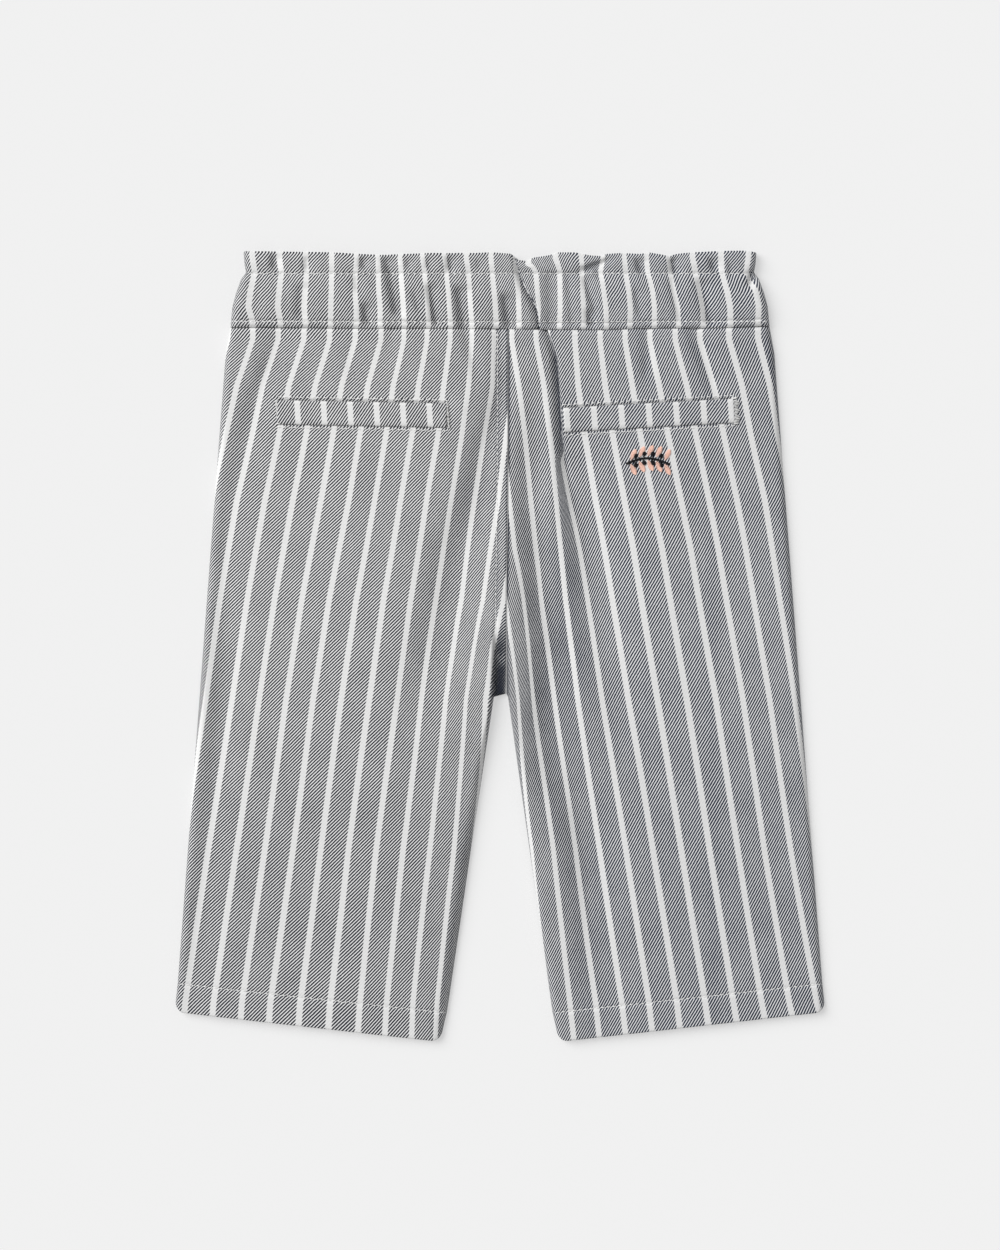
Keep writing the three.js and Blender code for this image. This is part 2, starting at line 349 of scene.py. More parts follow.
def hump(distance, high, reach):
    """A soft hump or groove that is high on its middle line and fades out at about its reach."""
    return high * np.exp(-(distance / reach) ** 2)


def wave(x, y):
    """How far the waist seam carries the cloth near it up or down."""
    return hump(y - waist_seam_y, np.interp(x, waist_wave["x"], waist_wave["rise"]), waist_wave["reach"])


def along_table(table, column, y):
    """The column's value at height y, straight between the rows. One number does for all rows."""
    values = np.broadcast_to(table[column], len(table["y"]))
    return np.interp(-np.asarray(y, float), [-level for level in table["y"]], values)


def columns_at(table, y, *columns):
    return (along_table(table, column, y) for column in columns)


def stripe_count(table, x, y):
    """Which stripe lies at x, y: a whole number on a white stripe, and a fraction between two."""
    numbers, rows = table["stripe"], table["rows"]
    counts = []
    for spots in rows.values():
        before = np.minimum(x - spots[0], 0) / (spots[1] - spots[0]) * (numbers[1] - numbers[0])
        beyond = np.maximum(x - spots[-1], 0) / (spots[-1] - spots[-2]) * (numbers[-1] - numbers[-2])
        counts.append(np.interp(x, spots, numbers) + before + beyond)
    spot = np.interp(-y, [-level for level in rows], np.arange(len(rows)))
    upper = np.minimum(spot.astype(int), len(rows) - 2)
    counts, each = np.array(counts), np.arange(len(y))
    return mix(counts[upper, each], counts[upper + 1, each], spot - upper)


def down_grain(leg_name, x, y):
    return y * math.cos(grain_lean) - x * legs[leg_name]["side"] * math.sin(grain_lean)


def front_cut(leg_name, x, y, above_hem):
    """Where a point of the leg lies in its flat cut, across and along the grain. It has no painted shade."""
    across = -stripe_count(stripe_rows[leg_name], x, y) * stripe_pitch
    return across, down_grain(leg_name, x, y), 0 * x


def inner_edge(leg, y):
    seat = along_table(seat_seam, "x", y) + leg["side"] * seam_gap
    inseam = leg["fork_x"] + leg["side"] * leg["lean"] * (fork_y - y)
    return np.where(y >= fork_y, seat, inseam)


def leg_row(leg, y):
    """The slope and the two ends of the straight row that starts at y on the leg's inner edge."""
    slope = hem_slope * (waist_seam_y - y) / (waist_seam_y - hem_y)
    inner = inner_edge(leg, y)
    outer_y = y + slope * (along_table(outseam, "half", y) - abs(inner))
    return slope, inner, leg["side"] * along_table(outseam, "half", outer_y)


def corner_rise(distance, radius):
    short = np.clip(radius - distance, 0, radius)
    return radius - np.sqrt(radius ** 2 - short ** 2)


fold_rows = 8                 # rows of mesh round a fold
turned_under = 3              # a fold's angle past which the cloth is on the inside


def folded_rows(raw_y, edge_y, inside_rows, stretches):
    """Rows of a strip doubled at edge_y: up to the fold inside, round it, and away again outside."""
    outside = [np.linspace(part["from"], part["to"], part["rows"] + 1)[1:] for part in stretches]
    outside = np.concatenate(outside)
    turn = np.linspace(math.pi, 0, fold_rows + 1)
    fold = np.concatenate((np.full(inside_rows, math.pi), turn, np.zeros(len(outside))))
    inside = np.linspace(raw_y, edge_y, inside_rows + 1)[:-1]
    return fold, np.concatenate((inside, np.full(fold_rows + 1, edge_y), outside))


def curled_columns(stretches, curl_columns):
    """Shares of a sheet's width, and the turn of its curled edges: a right angle where it lies open."""
    inner = [np.linspace(part["from"], part["to"], part["columns"] + 1)[1:] for part in stretches]
    flat = np.concatenate(([0.0], *inner))
    curl = np.linspace(0, math.pi / 2, curl_columns + 1)[:-1]
    share = np.concatenate((np.zeros(curl_columns), flat, np.ones(curl_columns)))
    return share, np.concatenate((curl, np.full(len(flat), math.pi / 2), curl[::-1]))


def cloth_sheet(name, columns, rows, place, upside_down, material, sharp_rows=()):
    """A ply of cloth from a bmesh grid. place(i, j) gives each point's x, y and z, its place in the cut
    across and along the grain, and its painted shade: how much more navy shows there because a fold or crease
    lies in shade."""
    grid = bmesh.new()
    bmesh.ops.create_grid(grid, x_segments=columns, y_segments=rows, size=1)
    if upside_down:
        bmesh.ops.reverse_faces(grid, faces=grid.faces)
    mesh = bpy.data.meshes.new(name)
    grid.to_mesh(mesh)
    grid.free()
    flat = np.empty(len(mesh.vertices) * 3)
    mesh.vertices.foreach_get("co", flat)
    i = np.rint((flat[0::3] + 1) / 2 * columns).astype(int)
    j = np.rint((flat[1::3] + 1) / 2 * rows).astype(int)
    x, y, z, across, along, painted_shade = place(i, j)
    mesh.vertices.foreach_set("co", (np.column_stack((x, y, z)) * mm).ravel())
    corners = np.empty(len(mesh.loops), int)
    mesh.loops.foreach_get("vertex_index", corners)
    cut = mesh.uv_layers.new(name="cut")
    cut.data.foreach_set("uv", (np.column_stack((across, along))[corners] * mm).ravel())
    mesh.attributes.new("painted_shade", "FLOAT", "POINT").data.foreach_set("value", painted_shade.astype(np.float32))
    ends = np.empty(len(mesh.edges) * 2, int)
    mesh.edges.foreach_get("vertices", ends)
    ends = j[ends].reshape(-1, 2)
    sharp = (ends[:, 0] == ends[:, 1]) & np.isin(ends[:, 0], sharp_rows)
    mesh.attributes.new("sharp_edge", "BOOLEAN", "EDGE").data.foreach_set("value", sharp)
    mesh.polygons.foreach_set("use_smooth", [True] * len(mesh.polygons))
    mesh.update()
    mesh.materials.append(material)
    piece = bpy.data.objects.new(name, mesh)
    scene.collection.objects.link(piece)
    wall = piece.modifiers.new("thickness", "SOLIDIFY")
    wall.thickness = ply * mm
    wall.offset = -1
    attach(piece, "root")
    return piece


def leg_sheet(name, leg_name, rows, columns, height, cut_place, facing, bow=1, lay=None):
    """One leg panel. height is its outer face's; facing is 1 where that looks up, and -1 down."""
    leg = legs[leg_name]
    side = leg["side"]
    edge_z = seam_height + facing * seam_gap
    folds_at, levels = rows
    shares, turns = columns

    def place(i, j):
        share, turn = shares[i], turns[i]
        fold, level = folds_at[j], levels[j]
        slope, inner, outer = leg_row(leg, level)
        joined = level > fork_y
        hem_roll = mix(fork_roll, leg["hem_roll"], smooth((fork_y - level) / fork_blend["below"]))
        to_fork = abs(leg["fork_x"] + side * fork_roll - inner)
        seat_roll = mix(leg["seat_roll"], to_fork, smooth(1 - (level - fork_y) / fork_blend["above"]))
        inner_roll = np.where(joined, seat_roll, hem_roll)
        reach = np.where(share < 0.5, side_roll, inner_roll)
        inset = reach * (1 - np.cos(turn))
        x = mix(outer - side * np.where(share > 0, side_roll, inset),
                inner + side * np.where(share < 1, inner_roll, inset), share)
        rise = corner_rise(abs(x - outer), corner["outer"]) + corner_rise(abs(x - inner), corner["inner"])
        y = level + slope * abs(x - inner) + np.clip(1 - (level - hem_y) / hem_depth, 0, 1) * rise
        y = y - np.where(fold < math.pi, hem_curl * np.sin(fold), 0)
        above_hem = level - hem_y
        crown, seat_drop = height(x, y, above_hem)
        drop = np.where((share < 0.5) | ~joined, crown - edge_z, seat_drop)
        z = crown - drop * (1 - np.sin(turn) ** np.where(joined & (share > 0.5), 1, bow))
        from_edge = np.clip(side * (x - leg["fork_x"]) / fork_roll, 0, 1)
        at_fork = edge_z + (crown - edge_z) * (1 - (1 - from_edge) ** 2) ** (bow / 2)
        z = mix(z, at_fork, smooth(1 - (level - fork_y) / fork_blend["joint"]) * joined)
        outward = np.where(share < 0.5, side, -side)
        curled_x = x + outward * reach * (math.pi / 2 - turn - np.cos(turn))
        cut = cut_place(leg_name, curled_x, np.where(fold > turned_under, 2 * fold_y - y, y), above_hem)
        turned_in = hem_curl * (1 - np.cos(fold))
        laid_x = lay(leg_name, x, y) if lay else x
        return (laid_x - outward * np.cos(turn) * turned_in, y + wave(x, y),
                z - facing * turned_in * np.sin(turn), *cut)

    fork_rows = np.flatnonzero(abs(levels - fork_y) < 2 * fork_gap)
    return cloth_sheet(name, len(shares) - 1, len(levels) - 1, place, facing * side > 0,
                       striped_twill, fork_rows)


def front_height(x, y, above_hem):
    groove = hump(above_hem - hem_depth, front_seam["deep"], front_seam["reach"])
    return groove, np.full_like(x, -front_seat_rise)


front_rows = folded_rows(fold_y + hem_depth, fold_y, 6, (
    {"from": fold_y, "to": hem_y + 16, "rows": 16},
    {"from": hem_y + 16, "to": fork_y - fork_gap, "rows": 50},
    {"from": fork_y + fork_gap, "to": waist_seam_y, "rows": 60},
))
front_columns = curled_columns(({"from": 0, "to": 1, "columns": 60},), 6)
fronts = {}
for leg_name in legs:
    front = leg_sheet(f"{leg_name}_front_panel", leg_name, front_rows, front_columns,
                      front_height, front_cut, -1)
    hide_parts(f"front_{leg_name}")
    fronts[leg_name] = front

# ---- Back panels ----
# One ply of the same twill each, sewn to the fronts at the sides and inseams and to each other along
# the seat. A tuck runs down from the waist seam beside the seat seam, and soft folds fan out of it.
crown_rows = {                # height of the backs over the table, along their inner and outer edges
    "y": (130.5, 115, 100, 40, 5, -20, -45, -90, -130, -162.5),
    "inner": (4.9, 5.8, 6.3, 6.3, 6.2, 6.0, 5.4, 4.4, 3.8, 3.2),
    "outer": (4.3, 4.1, 3.9, 3.6, 3.6, 3.6, 3.6, 3.5, 3.4, 3.1),
}
leg_puff = 0.5
edge_bow = 1.5                # how evenly an open edge slopes down: 1 is round, and 2 nearly straight
seat_drops = {"left": 0.4, "right": 0.6}      # from each back down to the seat seam
lowest = {"over_front": 1.9, "in_hollow": 1.2}       # height that the backs don't go below
leg_ripple = 0.12             # the cloth isn't quite even
felled = {"wide": 4.3, "high": 0.35, "soft": 0.6}    # the seat seam's allowance, stitched down to the left
hem_step = {"high": 0.3, "soft": 1.2}    # where the hem's second ply ends
grooves = {                   # how deep each line of sewing lies in the backs, and its reach
    "waist": (0.9, 0.8), "hem": (0.3, 0.6), "seat": (0.25, 0.6),
}
crotch = {"left": -3.3, "soft": 1.3, "from": 9, "over": 15, "deep": 4.4}    # the hollow where the legs part
gathered = {"share": 0.3, "from": 50, "over": 60}    # gathered cloth out of sight at the top of a leg
lap_start = 0.1               # a lap starts this far to the left of its crease
tuck_lap = {"wall": 0.8, "over": 1.0, "fade": 7}    # the tuck's right side laps over its crease
tuck = {                      # crease of the tuck in the right back, and where and how sharply it hides cloth
    "y": (131, 118.7, 103.1, 87.5, 80, 76, 68.3, 60, 39.6, 10.9, -21.9, -60),
    "x": (19.6, 23.8, 24.8, 25.6, 26.6, 27.2, 28.4, 29.6, 31.0, 34.0, 39.0, 48.0),
    "hides": (19.8, 24.0, 25.0, 25.9, 26.2, 23.8, 24.6, 26.0, 29.1, 32.8, 39.0, 48.0),
    "soft": (0.25, 0.25, 0.25, 0.3, 0.4, 0.4, 0.5, 0.8, 1.6, 3.0, 6.0, 8.0),
    "deep": (2.4, 3.2, 3.4, 3.2, 2.6, 2.0, 1.0, 0.3, 0, 0, 0, 0),
    "left": (2.2, 2.6, 2.8, 3.2, 3.6, 3.8, 4.0, 4.4, 4.6, 5.5, 6.0, 6.0),
    "right": (0.6, 0.6, 0.6, 0.7, 0.8, 0.9, 1.3, 1.8, 2.5, 4.0, 5.0, 6.0),
    "lap": (1, 1, 1, 1, 0.8, 0.5, 0.1, 0, 0, 0, 0, 0),
}
folds = (                     # soft troughs from the top down: crease, depth, and reach of each wall
    {"y": (131, 120, 110, 100, 90, 80, 70, 60, 40, 20, 0, -20, -40),
     "x": (-0.5, 0.5, 1.5, 1, -2.2, -6, -7.2, -8.7, -15.8, -19, -25.3, -30.5, -36),
     "deep": (0.6, 1.3, 2.0, 2.3, 2.3, 2.3, 2.4, 2.6, 2.7, 2.5, 2.1, 1.2, 0),
     "left": (3, 4, 5, 5.5, 6, 6.5, 7.5, 9, 11, 11, 11, 10, 10),
     "right": (3, 3.5, 4, 5, 6, 8, 9, 10, 11, 12, 13, 13, 12)},
    {"y": (112, 100, 80, 60, 41, 21, 2, -18, -38, -57, -67),
     "x": (12, 14.5, 14.5, 14, 16.5, 18, 22, 21.5, 20, 22.5, 24),
     "deep": (0, 1.2, 1.8, 2.2, 3.0, 3.4, 3.4, 3.2, 2.6, 1.3, 0),
     "left": (5, 6, 7, 7, 7, 8, 9, 9, 8, 7, 6), "right": (5, 5, 5, 5, 6, 8, 10, 10, 10, 10, 10)},
    {"y": (95, 85, 75, 60, 40, 20, 0, -20, -45), "x": (28, 28.6, 29.6, 32.5, 36, 39, 42, 46, 50),
     "deep": (0, 1.4, 2.6, 3.0, 2.8, 2.3, 1.7, 1.0, 0),
     "left": (3, 3.6, 4.4, 5.8, 8, 9.5, 9, 9, 9), "right": 13},
    {"y": (-20, -38, -57, -77, -97, -116, -136, -150), "x": (26, 27.5, 32, 34, 36.5, 37.5, 40, 42),
     "deep": (0, 1.0, 2.0, 2.3, 2.0, 1.6, 0.8, 0), "left": 7, "right": 12},
    {"y": (131, 122, 113, 97, 81, 64, 48, 15, -34, -67, -100, -133, -155),
     "x": (-90, -92.5, -95.5, -101.5, -105.8, -109.3, -112, -113.4, -115, -118.4, -122, -125.7, -128),
     "deep": (0.5, 1.0, 1.5, 1.0, 0.9, 0.9, 0.9, 1.0, 1.2, 1.0, 0.9, 0.8, 0.6), "left": 4.5, "right": 6},
    {"y": (131, 122, 110, 98), "x": (80, 82.5, 86.5, 90), "deep": (0.8, 1.3, 1.3, 0),
     "left": 3.2, "right": 4.0},
    {"y": (131, 124, 113, 106), "x": (60, 60.5, 60, 60), "deep": (0.7, 0.8, 1.0, 0),
     "left": 2.2, "right": 3.0},
    {"y": (131, 122, 112, 104), "x": (-14.5, -12, -9.5, -8.5), "deep": (1.3, 1.3, 0.8, 0),
     "left": 2.4, "right": 3.2},
    {"y": (112, 98, 84), "x": (-15, -16, -17.5), "deep": (0, -0.9, 0), "left": 4.5, "right": 4.5},
    {"y": (131, 122, 112), "x": (-44.5, -45, -46), "deep": (0.7, 0.6, 0), "left": 2.2, "right": 3.0},
    {"y": (130, 118, 104), "x": (-62, -61.5, -60), "deep": (0, 0.6, 0), "left": 2.5, "right": 3.0},
)
painted_shade_lines = (              # painted shade, as more navy where folds, creases, seams and the crotch hollow lie in shade: middle, half width, and how much
    {"y": (131, 110, 90, 60, 40, 20, 0, -30), "x": (-3, -1.6, -6.5, -15, -22, -27, -32, -38),
     "wide": (3, 4, 5, 6, 8, 8, 8, 8), "more": (0.03, 0.08, 0.08, 0.08, 0.07, 0.06, 0.05, 0)},
    {"y": (131, 118, 100, 88, 70, 50, 30, 10, -10, -30),
     "x": (21, 22.5, 24, 25, 24.6, 27.0, 29.8, 32, 36, 40),
     "wide": (1.5, 1.5, 1.5, 2.0, 2.6, 4.5, 6.5, 7, 7, 7),
     "more": (0.10, 0.15, 0.2, 0.18, 0.16, 0.14, 0.12, 0.10, 0.08, 0.03)},
    {"y": (105, 80, 60, 41, 21, 2, -18, -38, -57, -77, -97, -116, -140),
     "x": (9.5, 9.5, 8.4, 10.7, 12, 16, 16, 16, 20, 27, 30, 31.5, 35),
     "wide": (3, 4, 4.5, 5, 6, 9, 9, 9, 9, 6, 5, 5, 5),
     "more": (0, 0.08, 0.09, 0.12, 0.14, 0.15, 0.16, 0.15, 0.13, 0.11, 0.09, 0.07, 0.02)},
    {"y": (60, 41, 21, 2, -18, -38, -60), "x": (22, 24, 25, 27, 29, 31, 33), "wide": 8,
     "more": (0, 0.05, 0.08, 0.07, 0.06, 0.05, 0)},
    {"y": (131, 113, 97, 48, 15, -34, -100, -160),
     "x": (-95, -98.4, -104.6, -115, -116.4, -118, -125, -131),
     "wide": 4, "more": (0.02, 0.08, 0.05, 0.05, 0.06, 0.06, 0.04, 0.03)},
    {"y": (131, 118, 102), "x": (76, 81, 87.5), "wide": 3, "more": (0.07, 0.13, 0.04)},
    {"y": (131, 118, 106), "x": (57.5, 58.5, 60), "wide": 2.5, "more": (0.05, 0.11, 0.02)},
    {"y": (131, 118, 100, 81, 31, -20, -60), "x": (108.5, 111, 113.5, 115.5, 119.5, 122, 125), "wide": 3,
     "more": (0.06, 0.14, 0.14, 0.1, 0.06, 0.04, 0)},
    {"y": (-65, -85, -110, -155), "x": (-11.6, -14.7, -18.3, -25), "wide": 2.2,
     "more": (0, 0.12, 0.15, 0.12)},
    {"y": (129, 122, 104, 88, 79), "x": (19.8, 22.6, 24.3, 25.1, 26.0), "wide": 0.6,
     "more": (0.05, 0.15, 0.2, 0.2, 0)},
    {"y": (131, 60, 20, 10), "x": (3.4, 3.3, 2.8, 2.7), "wide": 0.7, "more": (0.4, 0.4, 0.35, 0.1)},
    {"y": (131, 60, 20, 4), "x": (-0.9, -1.0, -1.6, -1.7), "wide": 0.7, "more": (0.12, 0.2, 0.2, 0)},
    {"y": (14, 5, -1, -5, -9, -20.7, -20.8), "x": 0.2, "wide": 2.7,
     "more": (0, 0.2, 0.35, 0.15, 0.4, 0.5, 0)},
)
pockets = {                   # middle, width and tilt of each back pocket's welt
    "left": {"x": -56.6, "y": 95.3, "wide": 70, "tilt": math.radians(-1.2)},
    "right": {"x": 61.1, "y": 94.7, "wide": 71, "tilt": math.radians(3.2)},
}
welt_deep = 10
pocket_slot = {"deep": 0.9, "soft": 0.45, "ends": 0.8}
stitch_pitch = 2.3
stitch_pull = {"far": 0.3, "reach": 0.8}       # how far a row of stitches pulls the cloth, and how near it
seat_pull = {"share": 0.8, "wider": 3}         # the seat's stitching also pulls along the grain
slide = {"from": 0.8, "over": 0.6, "back": 4}  # where cloth slides into a crease, in reaches of its wall
fold_slide = 0.25             # how far it slides, as a share of the fold's depth
rib_shift = {                 # how far the ribs miss each other across a seam, and how sharply
    "hem": (0.4, 0.2), "seat": (0.5, 0.2), "welt": (0.45, 0.15),
}
welt_row = {"out": 1.2, "wide": 1.5, "past": 1, "soft": 0.3}      # stitches above and below each welt


def trough(across, left, right):
    """How deep a soft fold is at this distance from its crease, with a wall of its own on each side."""
    return np.exp(-(across / np.where(across < 0, left, right)) ** 2)


def drawn_in(across, left):
    """Cloth that slides into a crease down its left wall, and comes back to its place further off."""
    spot = (across / left + slide["from"]) / slide["over"]
    return np.tanh(spot) - np.tanh(spot / slide["back"])


def lapped(x, crease, lap, share):
    """Where cloth at x lies once the right side of a crease is drawn over it."""
    past = x - crease
    shift = lap["over"] * smooth((past + lap_start) / lap["wall"])
    return x - hump(np.maximum(past - lap["wall"], 0), shift, lap["fade"]) * share


def fold_depth(x, y):
    depth = 0
    for fold in (tuck, *folds):
        crease, deep, left, right = columns_at(fold, y, "x", "deep", "left", "right")
        depth = depth + deep * trough(x - crease, left, right)
    return depth


def painted_fold_shade(x, y):
    painted_sum = 0
    for spot in painted_shade_lines:
        middle, wide, more = columns_at(spot, y, "x", "wide", "more")
        painted_sum = painted_sum + hump(x - middle, more, wide)
    return painted_sum


def pucker(off_row, along_row):
    """How far a row of stitches pulls the cloth beside it to and fro."""
    to_and_fro = np.sin(2 * math.pi * along_row / stitch_pitch)
    return hump(off_row, stitch_pull["far"], stitch_pull["reach"]) * to_and_fro


def pocket_place(pocket, x, y):
    """Distances along a pocket's welt from its middle, and up from its middle line."""
    dx, dy = x - pocket["x"], y - pocket["y"]
    cosine, sine = math.cos(pocket["tilt"]), math.sin(pocket["tilt"])
    return dx * cosine + dy * sine, dy * cosine - dx * sine


def pocket_point(pocket, sideways, up):
    """The x and y that lie at these distances along a pocket's welt and up from its middle line."""
    cosine, sine = math.cos(pocket["tilt"]), math.sin(pocket["tilt"])
    return pocket["x"] + sideways * cosine - up * sine, pocket["y"] + sideways * sine + up * cosine


def back_height(x, y, above_hem):
    half, seat = along_table(outseam, "half", y), along_table(seat_seam, "x", y)
    joined = y > fork_y - 1
    inner = abs(inner_edge(legs["left" if x.mean() < 0 else "right"], y))
    share = np.clip((abs(x) - inner) / (half - inner), 0, 1)
    crown = mix(along_table(crown_rows, "inner", y), along_table(crown_rows, "outer", y), share)
    crown = crown + leg_puff * np.sin(math.pi * share)
    crown = crown - fold_depth(x, y)
    crown = crown + leg_ripple * np.sin(x / 7.3 + y / 31 + 1) * np.sin(y / 17 + x / 29)
    hollow = crotch["deep"] * smooth((crotch["from"] - y) / crotch["over"]) * joined
    left_of_seat = (x < seat) & joined
    off_row = x - seat + felled["wide"]
    crown = crown - hollow * smooth((x - crotch["left"]) / crotch["soft"]) * left_of_seat
    crown = crown + felled["high"] * smooth((off_row + felled["soft"] / 2) / felled["soft"]) * left_of_seat
    crown = crown - hump(off_row, *grooves["seat"]) * left_of_seat
    for pocket in pockets.values():
        sideways, up = pocket_place(pocket, x, y)
        inside = smooth((pocket["wide"] / 2 - abs(sideways)) / pocket_slot["ends"])
        crown = crown - hump(up - welt_deep / 2, pocket_slot["deep"] * inside, pocket_slot["soft"])
    crown = crown - hump(y - waist_seam_y, *grooves["waist"])
    crown = crown + hem_step["high"] * smooth((hem_depth - above_hem) / hem_step["soft"])
    crown = crown - hump(above_hem - hem_depth, *grooves["hem"])
    floor_z = mix(lowest["over_front"], lowest["in_hollow"], hollow > 0)
    return np.maximum(crown, floor_z), np.where(x < seat, seat_drops["left"], seat_drops["right"] + hollow)


def lay_tuck(leg_name, x, y):
    """Where cloth at x lies once the right back's tuck laps over its crease."""
    if leg_name == "left":
        return x
    crease, lap = columns_at(tuck, y, "x", "lap")
    return lapped(x, crease, tuck_lap, lap)


def back_cut(leg_name, x, y, above_hem):
    stripes = stripe_count(stripe_rows[leg_name], x, y)
    if leg_name == "right":
        inside = stripe_count(stripe_rows["right, inside the tuck"], x, y)
        outside = stripe_count(stripe_rows["right"], lay_tuck(leg_name, x, y), y)
        hides, soft = columns_at(tuck, y, "hides", "soft")
        stripes = mix(inside, outside, step(x - hides, soft))
    across, along = stripes * stripe_pitch, down_grain(leg_name, x, y)
    # Near the waist some of the cloth is out of sight in the gathers, so the ribs that show keep their pitch.
    rows, column = stripe_rows[leg_name]["rows"], 3
    middle = np.interp(-y, [-level for level in rows], [spots[column] for spots in rows.values()])
    hidden = across - stripe_rows[leg_name]["stripe"][column] * stripe_pitch - (x - middle)
    fullness = smooth((y - gathered["from"]) / gathered["over"])
    along = along + gathered["share"] * hidden * math.tan(rib_angle) * fullness
    for fold in folds:
        crease, deep, left = columns_at(fold, y, "x", "deep", "left")
        across = across + fold_slide * deep * drawn_in(x - crease, left)
    # Rows of stitches draw the cloth in, so that the ribs don't meet across them.
    far, soft = rib_shift["hem"]
    along = along + far * step(above_hem - hem_depth, soft) + pucker(above_hem - hem_depth, x)
    if leg_name == "left":
        off_row = x - along_table(seat_seam, "x", y) + felled["wide"]
        far, soft = rib_shift["seat"]
        across = across + far * step(off_row, soft) + pucker(off_row, y)
        along = along + seat_pull["share"] * pucker(off_row / seat_pull["wider"], y)
    far, soft = rib_shift["welt"]
    for pocket in pockets.values():
        sideways, up = pocket_place(pocket, x, y)
        beside = step(pocket["wide"] / 2 + welt_row["past"] - abs(sideways), welt_row["soft"])
        outside = abs(up) - welt_deep / 2
        sewn = step(outside, soft) - step(outside - welt_row["wide"], soft)
        along = along + beside * (far * sewn + pucker(outside - welt_row["out"], sideways))
    # The third value is painted shade: more navy in the folds, creases, seams and crotch hollow.
    return across, along, painted_fold_shade(x, y)


back_rows = folded_rows(fold_y + hem_depth, fold_y, 8, (
    {"from": fold_y, "to": hem_y + 10.5, "rows": 9},
    {"from": hem_y + 10.5, "to": hem_y + 14, "rows": 8},
    {"from": hem_y + 14, "to": fork_y - fork_gap, "rows": 100},
    {"from": fork_y + fork_gap, "to": 86, "rows": 86},
    {"from": 86, "to": 104.5, "rows": 44},
    {"from": 104.5, "to": 127.5, "rows": 19},
    {"from": 127.5, "to": waist_seam_y, "rows": 7},
))
back_columns = curled_columns((
    {"from": 0, "to": 0.6, "columns": 58},
    {"from": 0.6, "to": 1, "columns": 74},
), 10)
backs = {}
for leg_name in legs:
    back = leg_sheet(f"{leg_name}_back_panel", leg_name, back_rows, back_columns, back_height, back_cut, 1,
                     edge_bow, lay_tuck)
    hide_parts(f"back_{leg_name}")
    backs[leg_name] = back

# ---- Waistband ----
# A strip of the twill folded double over an elastic, with a frilled heading above the elastic's
# channel. The elastic gathers it. Its back half lies over its front half, and the two are one tube.
top_y = cad_box[1].y / mm
heading_stitch_y = 153.0
edge_stitch_y = 133.2
strip_curl = 0.55             # half the heading's thickness, without its outer ply
channel_thick = 1.5           # the same through the elastic
channel_fade = 2              # how far from the stitching the channel is full
waist_inside = 2.15           # lowest height of the back half's inner ply, over the front half
waist_roll = 3.4
waist_lip = {1: 2.85, -1: 2.6}        # height of the strip's side edges on the back and on the front
waist_crown = {
    "y": (162.5, 160.5, 157.0, 153.0, 149.0, 144.0, 138.0, 134.5, 133.2, 130.5),
    "crown": (4.8, 5.3, 5.6, 5.1, 5.9, 6.2, 6.0, 5.5, 5.2, 4.7),
}
top_edge = {                  # how far the heading's top edge dips, from left to right
    "x": (-105, -70, -49, -29, -10, -4, 4.5, 8.2, 11.5, 14, 20.5, 23, 31, 37, 42, 43.5, 50, 57.4, 61.5,
          69.7, 72, 78, 90, 100.5, 105),
    "dip": (0.3, 0.8, 1.9, 1.1, 1.1, 0.8, 1.4, 4.0, 4.4, 3.0, 2.0, 0.8, 0.9, 2.1, 2.4, 1.5, 1.1, 1.5, 0.9,
            2.4, 1.5, 0.9, 0.3, 0.1, 0.7),
}
waist_stripes = {
    "left": {
        "stripe": (0, 1, 3, 4, 5, 7, 9, 11),
        "rows": {
            160.1: (-101.6, -90.4, -69.0, -58.9, -50.2, -31.8, -13.9, 6.5),
            153.5: (-100.6, -89.6, -69.0, -59.3, -50.1, -31.0, -13.0, 6.6),
            145.3: (-102.3, -90.5, -69.1, -59.4, -49.8, -30.2, -12.4, 7.5),
            138.8: (-103.1, -91.1, -69.3, -59.0, -49.2, -29.8, -12.0, 7.8),
            132.5: (-101.5, -90.0, -69.5, -59.1, -49.1, -29.4, -11.5, 7.9),
        },
    },
    "right": {
        "stripe": (12, 13, 14, 15, 16, 17, 18, 19, 20, 21),
        "rows": {
            160.1: (11.6, 22.8, 33.4, 42.2, 50.9, 60.1, 68.9, 78.8, 90.6, 101.9),
            153.5: (14.6, 24.5, 33.6, 41.2, 51.5, 60.7, 69.6, 80.0, 91.0, 100.9),
            145.3: (15.2, 24.6, 33.8, 42.5, 52.8, 62.6, 71.3, 81.8, 93.1, 104.9),
            138.8: (15.8, 24.6, 34.2, 43.4, 53.3, 63.3, 72.9, 82.9, 94.3, 106.0),
            132.5: (15.0, 24.4, 34.2, 43.6, 53.2, 63.3, 73.2, 83.2, 94.5, 105.8),
        },
    },
}
pleat = {                     # a pleat that the gathers press flat beside the seat seam
    "y": (162.5, 152.3, 146.2, 140.5, 136.4, 130.5),
    "x": (6.8, 8.6, 11.5, 14.8, 16.0, 16.6),
    "deep": (2.0, 2.6, 3.0, 3.0, 2.8, 2.2),
}
pleat_lap = {"wall": 0.7, "over": 0.9, "fade": 5}
waist_hidden = {              # share of the gathered cloth that is out of sight, and where the share changes
    "middle": 112, "left": 0.8, "right": 0.1, "from": -10, "over": 40}
gather_columns = ("x1", "y1", "x2", "y2", "wide", "deep")     # from the top end down to the bottom end
